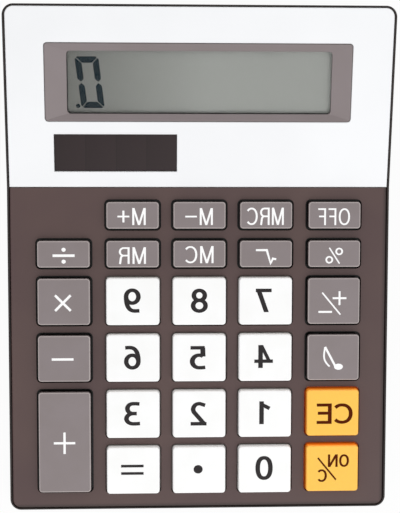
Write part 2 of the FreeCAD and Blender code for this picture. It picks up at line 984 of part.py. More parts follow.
def make_capacitor():
    can = cylinder(
        capacitor_radius,
        capacitor_x,
        -capacitor_from_back,
        (board_bottom - capacitor_height, board_bottom),
    )
    low_edges = edges_with(can, lambda p: p.z < board_bottom - capacitor_height / 2)
    return on_deck(can.makeFillet(capacitor_round, low_edges))


def make_resistors():
    chips = []
    for index in range(chip_resistor_count):
        x = blob_radius + chip_resistor_pitch * (index + 1) - chip_resistor_length
        y = -blob_from_back - blob_radius
        chips.append(
            box(
                (x, x + chip_resistor_length),
                (y - chip_resistor_width, y),
                (board_bottom - chip_resistor_height, board_bottom),
            )
        )
    return on_deck(group(chips))


def make_diode():
    start = vector(diode_x, -blob_from_back, board_bottom - diode_radius)
    return on_deck(Part.makeCylinder(diode_radius, diode_length, start, vector(1, 0, 0)))


def make_buzzer_disc():
    return cylinder(buzzer_radius, buzzer_x, buzzer_y, (floor_top, floor_top + buzzer_thickness))


def make_buzzer_ceramic():
    low = floor_top + buzzer_thickness
    return cylinder(buzzer_ceramic_radius, buzzer_x, buzzer_y, (low, low + buzzer_thickness))


# A round lead along straight runs, joined by arcs as large as the runs allow
def lead(points):
    edges = []
    start = points[0]
    for before, corner, after in zip(points, points[1:], points[2:]):
        arriving = (corner - before).normalize()
        leaving = (after - corner).normalize()
        turn = arriving.getAngle(leaving)
        run = min((corner - before).Length, (after - corner).Length)
        setback = lead_arc_share * run
        arc_start = corner - arriving * setback
        arc_end = corner + leaving * setback
        radius = setback / math.tan(turn / 2)
        inward = (leaving - arriving).normalize()
        bulge = radius / math.cos(turn / 2) - radius
        edges.append(Part.makeLine(start, arc_start))
        edges.append(Part.Arc(arc_start, corner + inward * bulge, arc_end).toShape())
        start = arc_end
    edges.append(Part.makeLine(start, points[-1]))
    path = Part.Wire(edges)
    ring = Part.makeCircle(lead_radius, points[0], points[1] - points[0])
    return path.makePipeShell([Part.Wire(ring)], True, False)


# The last two points of a lead: it comes up square to the underside of the board
def board_end(x):
    return [
        point_on(deck_angle, x, -lead_from_back, board_bottom - lead_rise),
        point_on(deck_angle, x, -lead_from_back, board_bottom),
    ]


def make_battery_leads():
    level = bay_top + bay_wall + tab_rise - lead_radius
    leads = []
    for x in contact_x():
        points = [
            vector(x, cell_y - tab_width / 2, level),
            vector(x, bay_y[0] - bay_wall - bay_lead_clearance, level),
            vector(x, bay_y[0] - bay_lead_drop, floor_top + bay_lead_height),
            vector(x, break_y + lead_bow, floor_top + lead_bow_height),
        ]
        leads.append(lead(points + board_end(x)))
    return group(leads)


def make_solar_leads():
    leads = []
    for x, y in solar_lead_places():
        points = [
            point_on(panel_angle, x, y, -plate_thickness),
            point_on(panel_angle, x, y, holder_bottom),
            vector(x, break_y + lead_bow, floor_top + lead_bow_height),
        ]
        leads.append(lead(points + board_end(x)))
    return group(leads)


def make_buzzer_leads():
    leads = []
    places = (
        (buzzer_x + buzzer_lead_shift, floor_top + 2 * buzzer_thickness),
        (buzzer_x + middle((buzzer_radius, buzzer_ceramic_radius)), floor_top + buzzer_thickness),
    )
    for x, z in places:
        points = [
            vector(x, buzzer_y, z),
            vector(x, buzzer_y, z + lead_rise),
            vector(x, break_y + lead_bow, floor_top + lead_bow_height),
        ]
        leads.append(lead(points + board_end(x)))
    return group(leads)


makers = {
    "lower_case": make_lower_case,
    "upper_case": make_upper_case,
    "key_deck": make_key_deck,
    "display_cover": make_display_cover,
    "display_bezel": make_display_bezel,
    "display_window": make_display_window,
    "lcd_polariser": make_lcd_polariser,
    "lcd_glass": make_lcd_glass,
    "lcd_reflector": make_lcd_reflector,
    "lcd_holder": make_lcd_holder,
    "ribbon": make_ribbon,
    "solar_cell": make_solar_cell,
    "rubber_keypad": make_rubber_keypad,
    "main_board": make_main_board,
    "chip_blob": make_chip_blob,
    "capacitor": make_capacitor,
    "resistors": make_resistors,
    "diode": make_diode,
    "buzzer_disc": make_buzzer_disc,
    "buzzer_ceramic": make_buzzer_ceramic,
    "battery_cell": make_battery_cell,
    "battery_spring": make_battery_spring,
    "battery_plate": lambda: contact_plate(contact_x()[1]),
    "battery_leads": make_battery_leads,
    "solar_leads": make_solar_leads,
    "buzzer_leads": make_buzzer_leads,
    "battery_door": make_battery_door,
    "board_screws": make_board_screws,
    "holder_screws": make_holder_screws,
    "case_screws": make_case_screws,
    "rubber_feet": make_rubber_feet,
}


def main():
    os.makedirs("parts", exist_ok=True)
    shapes = {name: make() for name, make in makers.items()}
    for name, x, y_range, stems in key_places():
        slack = 0.0 if name in white_keys or name in orange_keys else grey_key_slack
        shapes[name] = key_cap(x, y_range, stems, slack)
    for name, shape in shapes.items():
        shape.exportStep(os.path.join("parts", name + ".step"))
        print(name, len(shape.Solids), "solids,", round(shape.Volume, 2), "mm3, valid", shape.isValid())


main()
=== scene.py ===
import json
import math

import bmesh
import bpy
from mathutils import Matrix, Vector
from mathutils.geometry import delaunay_2d_cdt


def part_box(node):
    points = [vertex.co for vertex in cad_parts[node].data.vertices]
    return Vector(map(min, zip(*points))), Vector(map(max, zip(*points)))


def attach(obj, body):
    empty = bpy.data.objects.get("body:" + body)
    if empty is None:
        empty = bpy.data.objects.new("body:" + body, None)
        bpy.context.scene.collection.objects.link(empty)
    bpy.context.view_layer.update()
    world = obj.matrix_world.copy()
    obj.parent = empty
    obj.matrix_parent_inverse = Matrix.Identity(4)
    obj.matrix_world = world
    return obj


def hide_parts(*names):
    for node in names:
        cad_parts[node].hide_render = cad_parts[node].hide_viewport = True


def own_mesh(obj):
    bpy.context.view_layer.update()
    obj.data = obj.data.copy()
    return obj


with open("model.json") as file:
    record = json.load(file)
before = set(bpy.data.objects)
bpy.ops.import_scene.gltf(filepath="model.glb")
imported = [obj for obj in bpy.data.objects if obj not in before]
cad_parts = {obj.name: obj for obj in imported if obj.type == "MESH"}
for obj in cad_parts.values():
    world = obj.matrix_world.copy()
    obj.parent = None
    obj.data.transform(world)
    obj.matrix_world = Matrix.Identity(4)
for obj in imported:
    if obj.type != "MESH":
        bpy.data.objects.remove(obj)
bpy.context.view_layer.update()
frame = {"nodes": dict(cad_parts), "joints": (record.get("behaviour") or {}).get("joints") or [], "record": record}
nodes = frame["nodes"]
mm = 0.001
right = Vector((1, 0, 0))


# Directions and places read from the frame

pressAxis = next(j["axis"] for j in frame["joints"] if j["name"] == "press_5")
deckUp = -Vector(pressAxis).normalized()


# how far up a face has to look, the digits that tell directions apart, and how flat a top face is
topRules = {"leastUp": 0.5, "digits": 3, "flatMm": 0.02}


def facingUp(node):
    # the normal of the largest flat area that looks up
    areas = {}
    for face in nodes[node].data.polygons:
        if face.normal.z > topRules["leastUp"]:
            key = tuple(round(n, topRules["digits"]) for n in face.normal)
            areas[key] = areas.get(key, 0.0) + face.area
    return Vector(max(areas, key=areas.get)).normalized()


def topFrame(node, up):
    # origin in the middle of the node's top face, x to the right, y up the slope, z out
    along = up.cross(right)
    corners = [v.co for v in nodes[node].data.vertices]
    height = max(c.dot(up) for c in corners)
    top = [c for c in corners if height - c.dot(up) < topRules["flatMm"] * mm]
    x = (min(c.x for c in top) + max(c.x for c in top)) / 2
    y = (min(c.dot(along) for c in top) + max(c.dot(along) for c in top)) / 2
    middle = right * x + along * y + up * height
    axes = Matrix((right, along, up)).transposed()
    return Matrix.Translation(middle) @ axes.to_4x4()


panelUp = facingUp("display_window")


# Materials

patternDetail = {"cloud": 2.0, "grain": 3.0}  # how far a soft and a fine pattern break up


def linearColour(hexText):
    # the sRGB curve, with full cover as the fourth value
    channels = [int(hexText[i:i + 2], 16) / 255 for i in (1, 3, 5)]
    return [c / 12.92 if c <= 0.04045 else ((c + 0.055) / 1.055) ** 2.4 for c in channels] + [1.0]


def addNode(tree, kind, settings=None, links=None):
    node = tree.nodes.new(kind)
    for name, value in (settings or {}).items():
        if isinstance(name, str) and hasattr(node, name):
            setattr(node, name, value)
        else:
            node.inputs[name].default_value = value
    for name, source in (links or {}).items():
        tree.links.new(source, node.inputs[name])
    return node


def startMaterial(name, settings):
    material = bpy.data.materials.new(name)
    material.use_nodes = True
    tree = material.node_tree
    tree.nodes.clear()
    shader = addNode(tree, "ShaderNodeBsdfPrincipled", settings)
    addNode(tree, "ShaderNodeOutputMaterial", None, {"Surface": shader.outputs["BSDF"]})
    place = addNode(tree, "ShaderNodeTexCoord").outputs["Object"]
    return material, tree, shader, place


def perMetre(sizeMm):
    return 1.0 / (sizeMm * mm)


def fade(tree, value, first, second, span=(0.0, 1.0), course="LINEAR"):
    # one colour turns into another, each a hex text or a socket, as a value goes along a span
    settings = {"interpolation_type": course, "From Min": span[0], "From Max": span[1]}
    share = addNode(tree, "ShaderNodeMapRange", settings, {"Value": value})
    settings, links = {"data_type": "RGBA"}, {0: share.outputs["Result"]}
    for place, colour in ((6, first), (7, second)):  # the two sockets that take colours
        if isinstance(colour, str):
            settings[place] = linearColour(colour)
        else:
            links[place] = colour
    return addNode(tree, "ShaderNodeMix", settings, links).outputs[2]


def joinedRamps(tree, operation, ramps):
    # each ramp rises smoothly from 0 to 1 as its value goes from its start to its end
    total = None
    for value, start, end in ramps:
        settings = {"interpolation_type": "SMOOTHSTEP", "From Min": start, "From Max": end}
        ramp = addNode(tree, "ShaderNodeMapRange", settings, {"Value": value}).outputs["Result"]
        if total is not None:
            both = addNode(tree, "ShaderNodeMath", {"operation": operation}, {0: total, 1: ramp})
            ramp = both.outputs["Value"]
        total = ramp
    return total


def heightOverDeck(tree, place):
    # in millimetres, square to the key deck
    level = max(v.co.dot(deckUp) for v in nodes["key_deck"].data.vertices)
    settings = {"operation": "DOT_PRODUCT", 1: tuple(deckUp)}
    reach = addNode(tree, "ShaderNodeVectorMath", settings, {0: place})
    settings = {"operation": "MULTIPLY_ADD", 1: 1 / mm, 2: -level / mm}
    return addNode(tree, "ShaderNodeMath", settings, {0: reach.outputs["Value"]}).outputs["Value"]


# the painted rim highlight by how level the surface is, 1 on top and 0 on a wall: bare to full at each side
paintedRimHighlight = {"top": (0.995, 0.93), "wall": (0.2, 0.5)}


def keyRimHighlightAndFootShade(tree, place, colour, look):
    # painted highlight pales the round edge of a key, and painted shade darkens its foot in its opening
    facing = addNode(tree, "ShaderNodeNewGeometry").outputs["Normal"]
    settings = {"operation": "DOT_PRODUCT", 1: tuple(deckUp)}
    level = addNode(tree, "ShaderNodeVectorMath", settings, {0: facing}).outputs["Value"]
    # rim is the mask of the painted highlight
    rim = joinedRamps(tree, "MULTIPLY", [(level, *paintedRimHighlight["top"]), (level, *paintedRimHighlight["wall"])])
    colour = fade(tree, rim, colour, look["rim"])
    height = heightOverDeck(tree, place)
    # painted shade: full at the foot, none higher up the wall
    for shade, low, high in look["foot"]:
        colour = fade(tree, height, colour, shade, (high, low), "SMOOTHSTEP")
    return colour


# how far a wall faces the back, 1 for fully, where the painted glow starts and is full, and over what height
backGlowReach = {"turned": (0.5, 0.95), "riseMm": 2.2}


def paintedBackGlow(tree, shader, place, look):
    # a painted glow: emission on the key's back wall stands in for light from the front that wanders through the
    # thin plastic
    facing = addNode(tree, "ShaderNodeNewGeometry").outputs["Normal"]
    settings = {"operation": "DOT_PRODUCT", 1: tuple(deckUp.cross(right))}
    turned = addNode(tree, "ShaderNodeVectorMath", settings, {0: facing}).outputs["Value"]
    share = joinedRamps(tree, "MULTIPLY", [(turned, *backGlowReach["turned"])])
    settings = {"From Max": backGlowReach["riseMm"], "To Min": look["glowFoot"], "To Max": look["glowTop"]}
    height = heightOverDeck(tree, place)
    rise = addNode(tree, "ShaderNodeMapRange", settings, {"Value": height}).outputs["Result"]
    glow = addNode(tree, "ShaderNodeMath", {"operation": "MULTIPLY"}, {0: share, 1: rise})
    shader.inputs["Emission Color"].default_value = linearColour(look["glow"])
    tree.links.new(glow.outputs["Value"], shader.inputs["Emission Strength"])


def paintedEdgeShade(tree, place, colour, look):
    # painted shade: darker along the right side and the front of the deck, where it meets the case
    low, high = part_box("key_deck")
    split = addNode(tree, "ShaderNodeSeparateXYZ", None, {"Vector": place})
    width = look["edgeShadeMm"] * mm
    side = (split.outputs["X"], high.x - width, high.x)
    front = (split.outputs["Y"], low.y + width, low.y)
    return fade(tree, joinedRamps(tree, "MAXIMUM", [side, front]), colour, look["edge"])


# what all the ABS pieces share: their index, the contrast of their clouds, and the grain's unevenness
absGrain = {"ior": 1.53, "cloudSpread": (0.35, 0.65), "grainRoughness": 0.6, "dullness": 0.05}


def mouldedAbs(name, look):
    # injection-moulded ABS: an even colour with faint flow clouding, and the grain of the tool's wall
    settings = {"IOR": absGrain["ior"], "Specular IOR Level": look["sheen"]}
    material, tree, shader, place = startMaterial(name, settings)
    settings = {"Scale": perMetre(look["cloudMm"]), "Detail": patternDetail["cloud"]}
    clouds = addNode(tree, "ShaderNodeTexNoise", settings, {"Vector": place}).outputs["Fac"]
    colour = fade(tree, clouds, look["colour"], look["shade"], absGrain["cloudSpread"])
    # keys get a painted rim highlight and painted shade at their foot
    if "foot" in look:
        colour = keyRimHighlightAndFootShade(tree, place, colour, look)
    # painted shade along the deck's right and front edges
    if "edge" in look:
        colour = paintedEdgeShade(tree, place, colour, look)
    # a painted glow on the back walls of the translucent keys
    if "glow" in look:
        paintedBackGlow(tree, shader, place, look)
    tree.links.new(colour, shader.inputs["Base Color"])
    settings = {
        "Scale": perMetre(look["grainMm"]),
        "Detail": patternDetail["grain"],
        "Roughness": absGrain["grainRoughness"],
    }
    grain = addNode(tree, "ShaderNodeTexNoise", settings, {"Vector": place}).outputs["Fac"]
    spread = absGrain["dullness"]
    settings = {"To Min": look["roughness"] - spread, "To Max": look["roughness"] + spread}
    dull = addNode(tree, "ShaderNodeMapRange", settings, {"Value": grain})
    tree.links.new(dull.outputs["Result"], shader.inputs["Roughness"])
    settings = {"Strength": look["grainStrength"], "Distance": look["grainDepthMm"] * mm}
    bump = addNode(tree, "ShaderNodeBump", settings, {"Height": grain})
    tree.links.new(bump.outputs["Normal"], shader.inputs["Normal"])
    return material


# a tool wall's real grain is about 0.1 mm or finer, so every grainMm is drawn coarser, to show
absLooks = {
    # spark-eroded tool wall: nearly black, with a fine dull grain
    "charcoalCaseAbs": {
        "colour": "#2a2423", "shade": "#302a28", "roughness": 0.55, "sheen": 0.2, "cloudMm": 18,
        "grainMm": 0.4, "grainStrength": 0.5, "grainDepthMm": 0.03,
    },
    # satin tool wall, in warm brown, with painted shade along its right and front edges
    "brownDeckAbs": {
        "colour": "#54413e", "shade": "#4f3c3b", "roughness": 0.5, "sheen": 0.35, "cloudMm": 25,
        "grainMm": 0.35, "grainStrength": 0.3, "grainDepthMm": 0.02,
        "edge": "#2c211f", "edgeShadeMm": 1.6,
    },
    # polished tool wall behind a light lacquer: nearly smooth
    "whiteCoverAbs": {
        "colour": "#f5f6f8", "shade": "#f2f3f5", "roughness": 0.32, "sheen": 0.4, "cloudMm": 30,
        "grainMm": 0.5, "grainStrength": 0.12, "grainDepthMm": 0.01,
    },
    # satin tool wall, in a warm grey that stays even on the slopes
    "greyBezelAbs": {
        "colour": "#877d7e", "shade": "#837979", "roughness": 0.48, "sheen": 0.35, "cloudMm": 20,
        "grainMm": 0.35, "grainStrength": 0.25, "grainDepthMm": 0.02,
    },
    # satin grey, with a painted highlight on its rim and near black painted shade at its foot in its opening
    "greyKeyAbs": {
        "colour": "#847a7b", "shade": "#817777", "roughness": 0.42, "sheen": 0.4, "cloudMm": 9,
        "grainMm": 0.3, "grainStrength": 0.2, "grainDepthMm": 0.015,
        "rim": "#b4aaa8", "foot": [("#090706", 0.8, 1.9)],
    },
    # satin white, with a painted rim highlight, painted brown shade at its foot and a painted glow on its back
    # wall
    "whiteKeyAbs": {
        "colour": "#fafafa", "shade": "#f7f7f6", "roughness": 0.4, "sheen": 0.4, "cloudMm": 9,
        "grainMm": 0.3, "grainStrength": 0.15, "grainDepthMm": 0.012,
        "rim": "#ffffff", "foot": [("#8a7a74", -0.8, 0.1)],
        "glow": "#fff6ee", "glowFoot": 0.04, "glowTop": 0.18,
    },
    # plain tool wall inside the case: black and dull
    "blackHolderAbs": {
        "colour": "#222121", "shade": "#272626", "roughness": 0.5, "sheen": 0.35, "cloudMm": 12,
        "grainMm": 0.4, "grainStrength": 0.4, "grainDepthMm": 0.03,
    },
}
materials = {name: mouldedAbs(name, look) for name, look in absLooks.items()}


def tintedKeyAbs():
    # translucent dyed ABS, light wanders in it a little: pale gold on top, deep orange walls in painted shade, a
    # painted rim highlight and a painted glow on its back wall
    look = {
        "top": "#fdc64a", "shade": "#fbc248", "rim": "#ffbe54", "roughness": 0.4, "sheen": 0.4,
        "mottleMm": 6.0, "depthMm": 0.6, "scatter": 0.1, "reach": (1.0, 0.45, 0.1),
        "foot": [("#ff9a20", 1.6, 2.6), ("#ff6a06", -0.4, 1.6)],
        "glow": "#ff8020", "glowFoot": 0.14, "glowTop": 0.4,
    }
    material, tree, shader, place = startMaterial(
        "orangeKeyAbs",
        {
            "Roughness": look["roughness"],
            "IOR": absGrain["ior"],
            "Specular IOR Level": look["sheen"],
            "Subsurface Weight": look["scatter"],
            "Subsurface Radius": look["reach"],
            "Subsurface Scale": look["depthMm"] * mm,
        },
    )
    paintedBackGlow(tree, shader, place, look)
    settings = {"Scale": perMetre(look["mottleMm"]), "Detail": patternDetail["cloud"]}
    mottle = addNode(tree, "ShaderNodeTexNoise", settings, {"Vector": place})
    colour = fade(tree, mottle.outputs["Fac"], look["top"], look["shade"])
    tree.links.new(keyRimHighlightAndFootShade(tree, place, colour, look), shader.inputs["Base Color"])
    return material


materials["orangeKeyAbs"] = tintedKeyAbs()


inkFilm = {"ior": 1.5, "patchMm": 0.6, "dullness": 0.08}


def printedInk(name, look):
    # pad-printed ink: a thin even film with a slightly uneven sheen
    settings = {
        "IOR": inkFilm["ior"],
        "Specular IOR Level": look["sheen"],
        "Base Color": linearColour(look["colour"]),
    }
    material, tree, shader, place = startMaterial(name, settings)
    settings = {"Scale": perMetre(inkFilm["patchMm"])}
    film = addNode(tree, "ShaderNodeTexNoise", settings, {"Vector": place}).outputs["Fac"]
    spread = inkFilm["dullness"]
    settings = {"To Min": look["roughness"] - spread, "To Max": look["roughness"] + spread}
    dull = addNode(tree, "ShaderNodeMapRange", settings, {"Value": film})
    tree.links.new(dull.outputs["Result"], shader.inputs["Roughness"])
    return material


inkLooks = {
    "whiteInk": {"colour": "#fdfdfd", "roughness": 0.45, "sheen": 0.25},  # opaque and bright
    "darkInk": {"colour": "#231f20", "roughness": 0.5, "sheen": 0.2},  # opaque, just short of black
    "brownInk": {"colour": "#551f04", "roughness": 0.5, "sheen": 0.03},  # opaque, almost without shine
}
for name, look in inkLooks.items():
    materials[name] = printedInk(name, look)


def castAcrylic():
    # hard-coated clear acrylic: the coat dims the reflection, so the IOR is below bare acrylic's 1.49
    look = {"tint": "#f6f8f6", "roughness": 0.03, "ior": 1.22}
    material, tree, shader, _ = startMaterial(
        "castAcrylic",
        {
            "Base Color": linearColour(look["tint"]),
            "Roughness": look["roughness"],
            "IOR": look["ior"],
            "Transmission Weight": 1.0,
        },
    )
    output = next(n for n in tree.nodes if n.type == "OUTPUT_MATERIAL")
    fromLamp = addNode(tree, "ShaderNodeLightPath").outputs["Is Shadow Ray"]
    clear = addNode(tree, "ShaderNodeBsdfTransparent").outputs["BSDF"]
    links = {0: fromLamp, 1: shader.outputs["BSDF"], 2: clear}
    mixed = addNode(tree, "ShaderNodeMixShader", None, links)
    tree.links.new(mixed.outputs["Shader"], output.inputs["Surface"])
    return material


materials["castAcrylic"] = castAcrylic()


def polariserFilm():
    # a display at rest under its polariser: flat grey, with painted shade that darkens it towards one end, and a
    # pearl grain that is drawn coarser than the real one
    look = {
        "colour": "#9a9a98", "shade": "#969694", "grainMm": 0.5,
        "roughness": 0.4, "ior": 1.5, "sheen": 0.05,
        "paintedShadeEnd": "#5c5b58", "paintedShadeSpanMm": (2.0, -59.0),
    }
    settings = {"Roughness": look["roughness"], "IOR": look["ior"], "Specular IOR Level": look["sheen"]}
    material, tree, shader, place = startMaterial("polariserFilm", settings)
    pearl = addNode(tree, "ShaderNodeTexNoise", {"Scale": perMetre(look["grainMm"])}, {"Vector": place})
    colour = fade(tree, pearl.outputs["Fac"], look["colour"], look["shade"])
    across = addNode(tree, "ShaderNodeSeparateXYZ", None, {"Vector": place}).outputs["X"]
    dark = fade(tree, across, colour, look["paintedShadeEnd"], [x * mm for x in look["paintedShadeSpanMm"]])
    tree.links.new(dark, shader.inputs["Base Color"])
    return material


materials["polariserFilm"] = polariserFilm()


def liquidCrystal():
    # switched-on segments between the panes: a dull blue-black with no shine of its own
    look = {
        "colour": "#14222a", "shade": "#101c23", "patchMm": 1.5,
        "roughness": 0.6, "ior": 1.5, "sheen": 0.0,
    }
    settings = {"Roughness": look["roughness"], "IOR": look["ior"], "Specular IOR Level": look["sheen"]}
    material, tree, shader, place = startMaterial("liquidCrystal", settings)
    patch = addNode(tree, "ShaderNodeTexNoise", {"Scale": perMetre(look["patchMm"])}, {"Vector": place})
    colour = fade(tree, patch.outputs["Fac"], look["colour"], look["shade"])
    tree.links.new(colour, shader.inputs["Base Color"])
    return material


materials["liquidCrystal"] = liquidCrystal()


def siliconUnderGlass():
    # amorphous silicon behind glass: dark brown cells side by side, split by fine laser lines
    look = {
        "cell": "#2e2526", "edge": "#322829", "line": "#292223", "cellMm": 10.0, "lineMm": 0.25,
        "roughness": 0.3, "ior": 1.52, "sheen": 0.15,
    }
    settings = {"Roughness": look["roughness"], "IOR": look["ior"], "Specular IOR Level": look["sheen"]}
    material, tree, shader, place = startMaterial("siliconUnderGlass", settings)
    across = addNode(tree, "ShaderNodeSeparateXYZ", None, {"Vector": place}).outputs["X"]
    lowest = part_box("solar_cell")[0].x
    settings = {"From Min": lowest, "From Max": lowest + look["cellMm"] * mm, "clamp": False}
    cells = addNode(tree, "ShaderNodeMapRange", settings, {"Value": across}).outputs["Result"]
    part = addNode(tree, "ShaderNodeMath", {"operation": "FRACT"}, {0: cells}).outputs["Value"]
    settings = {"operation": "LESS_THAN", 1: look["lineMm"] / look["cellMm"]}
    line = addNode(tree, "ShaderNodeMath", settings, {0: part}).outputs["Value"]
    colour = fade(tree, part, look["cell"], look["edge"])
    tree.links.new(fade(tree, line, colour, look["line"]), shader.inputs["Base Color"])
    return material


materials["siliconUnderGlass"] = siliconUnderGlass()


def simpleFinish(name, look):
    # a plain industrial finish: one colour with a mottle, drawn coarser than the real grain
    settings = {"Roughness": look["roughness"], "Metallic": look.get("metallic", 0.0)}
    material, tree, shader, place = startMaterial(name, settings)
    settings = {"Scale": perMetre(look["grainMm"]), "Detail": patternDetail["grain"]}
    mottle = addNode(tree, "ShaderNodeTexNoise", settings, {"Vector": place})
    colour = fade(tree, mottle.outputs["Fac"], look["colour"], look["shade"])
    tree.links.new(colour, shader.inputs["Base Color"])
    return material


finishes = {
    # smooth and glossy, a pale grey-green
    "floatGlass": {"colour": "#aeb4ae", "shade": "#a6aca6", "roughness": 0.1, "grainMm": 4.0},
    # matt and milky
    "siliconeRubber": {"colour": "#c9c6bf", "shade": "#bfbcb5", "roughness": 0.6, "grainMm": 1.0},
    # deep green with a soft gloss
    "solderMaskBoard": {"colour": "#2f5d3a", "shade": "#285233", "roughness": 0.35, "grainMm": 2.0},
    # a glossy black drop
    "castEpoxy": {"colour": "#161616", "shade": "#1d1d1d", "roughness": 0.2, "grainMm": 1.5},
    # dark blue-grey with a soft gloss
    "lacqueredComponent": {"colour": "#23262e", "shade": "#2c3038", "roughness": 0.3, "grainMm": 0.8},
    # amber film with a soft gloss
    "polyesterRibbon": {"colour": "#b87a35", "shade": "#a96f2e", "roughness": 0.3, "grainMm": 0.6},
    # warm yellow metal with a blurred shine
    "rolledBrass": {
        "colour": "#c9a55a", "shade": "#bb9448", "roughness": 0.3, "grainMm": 0.5, "metallic": 1.0,
    },
    # off-white without shine
    "firedCeramic": {"colour": "#d9d4c6", "shade": "#cec8b8", "roughness": 0.5, "grainMm": 0.6},
    # bright metal, slightly warm
    "nickelPlate": {
        "colour": "#c4c1ba", "shade": "#b4b1aa", "roughness": 0.28, "grainMm": 0.4, "metallic": 1.0,
    },
    # a smooth sleeve, in plain grey-green
    "shrinkSleeve": {"colour": "#4a5a50", "shade": "#435248", "roughness": 0.3, "grainMm": 2.0},
    # dark red, smooth from the die
    "extrudedPvc": {"colour": "#8c2a24", "shade": "#7f2520", "roughness": 0.4, "grainMm": 1.0},
    # dull grey metal
    "zincPlate": {
        "colour": "#a8a49c", "shade": "#95918a", "roughness": 0.35, "grainMm": 0.5, "metallic": 1.0,
    },
    # nearly black and matt
    "mouldedRubber": {"colour": "#2a2928", "shade": "#32302f", "roughness": 0.75, "grainMm": 0.4},
}
for name, look in finishes.items():
    materials[name] = simpleFinish(name, look)
print("materials:", len(materials))


# CAD nodes get their finishes

slotFinishes = {
    "case_charcoal": "charcoalCaseAbs",
    "deck_brown": "brownDeckAbs",
    "cover_white": "whiteCoverAbs",
    "bezel_grey": "greyBezelAbs",
    "key_grey": "greyKeyAbs",
    "key_white": "whiteKeyAbs",
    "key_orange": "orangeKeyAbs",
    "window_clear": "castAcrylic",
    "lcd_glass": "floatGlass",
    "lcd_film": "polariserFilm",
    "solar_dark": "siliconUnderGlass",
    "holder_black": "blackHolderAbs",
    "silicone": "siliconeRubber",
    "board_green": "solderMaskBoard",
    "resin_black": "castEpoxy",
    "component_dark": "lacqueredComponent",
    "ribbon_amber": "polyesterRibbon",
    "brass": "rolledBrass",
    "ceramic": "firedCeramic",
    "nickel": "nickelPlate",
    "cell_can": "shrinkSleeve",
    "lead_pvc": "extrudedPvc",
    "screw_steel": "zincPlate",
    "feet_rubber": "mouldedRubber",
}
nodeSlots = {part["node"]: part["material_slot"] for part in frame["record"]["subparts"]}
for node, slot in nodeSlots.items():
    body = nodes[node].data
    body.materials.clear()
    body.materials.append(materials[slotFinishes[slot]])
print("finishes on", len(nodeSlots), "nodes")


# Printed shapes are made of strokes: each stroke gives flat pieces, in millimetres

strokeRules = {
    "stepDegrees": 9, "curveSteps": 10,  # how fine round strokes are
    "closedMm": 1e-6,  # ends as near as this count as one point
    "sharpest": 0.3, "longestMitre": 2.0,  # how far a sharp corner may reach
    "thinShare": 0.8,  # of the pen, for a thin stroke
    "weldMm": 1e-4, "straightRadians": 0.01,  # how a joined outline is cleaned
}


def arc(cx, cy, rx, ry, start, end, fullness=2.0):
    # points on an oval from one angle to another; a fullness over 2 squares the oval a little
    count = max(2, round(abs(end - start) / strokeRules["stepDegrees"]))
    points = []
    for step in range(count + 1):
        angle = math.radians(start + (end - start) * step / count)
        c, s = math.cos(angle), math.sin(angle)
        x = math.copysign(abs(c) ** (2 / fullness), c)
        y = math.copysign(abs(s) ** (2 / fullness), s)
        points.append((cx + rx * x, cy + ry * y))
    return points


def curve(a, b, c, d):
    # points on a curve from a to d that b and c pull to their sides
    count = strokeRules["curveSteps"]
    points = []
    for step in range(count + 1):
        t = step / count
        weights = ((1 - t) ** 3, 3 * t * (1 - t) ** 2, 3 * t * t * (1 - t), t ** 3)
        points.append(tuple(sum(w * p[i] for w, p in zip(weights, (a, b, c, d))) for i in (0, 1)))
    return points


def ribbon(points, pen):
    # a band along a line; the pen is wider for upright strokes than for level ones
    points = [Vector(p) for p in points]
    closed = (points[0] - points[-1]).length < strokeRules["closedMm"]
    sides = []
    for i, point in enumerate(points):
        before = points[i - 1] if i else (points[-2] if closed else None)
        after = points[i + 1] if i + 1 < len(points) else (points[1] if closed else None)
        arriving = (point - before).normalized() if before is not None else (after - point).normalized()
        leaving = (after - point).normalized() if after is not None else arriving
        heading = (arriving + leaving).normalized()
        normal = Vector((-heading.y, heading.x))
        half = math.hypot(normal.x * pen[0], normal.y * pen[1]) / 2
        mitre = min(1 / max(heading.dot(leaving), strokeRules["sharpest"]), strokeRules["longestMitre"])
        sides.append((point + normal * half * mitre, point - normal * half * mitre))
    return [[a[0], a[1], b[1], b[0]] for a, b in zip(sides, sides[1:])]


def bar(a, b, pen):
    # a straight band that runs past both its points by half its width, for square corners
    a, b = Vector(a), Vector(b)
    heading = (b - a).normalized()
    reach = math.hypot(heading.x * pen[0], heading.y * pen[1]) / 2
    return ribbon([a - heading * reach, b + heading * reach], pen)


def slant(a, b, pen):
    # a slanting band that is cut off level at both ends
    a, b = Vector(a), Vector(b)
    heading = (b - a).normalized()
    half = math.hypot(heading.y * pen[0], heading.x * pen[1]) / 2 / abs(heading.y)
    side = Vector((half, 0))
    return [[a - side, b - side, b + side, a + side]]


def disc(cx, cy, rx, ry):
    return [[Vector(p) for p in arc(cx, cy, rx, ry, 0, 360)[:-1]]]


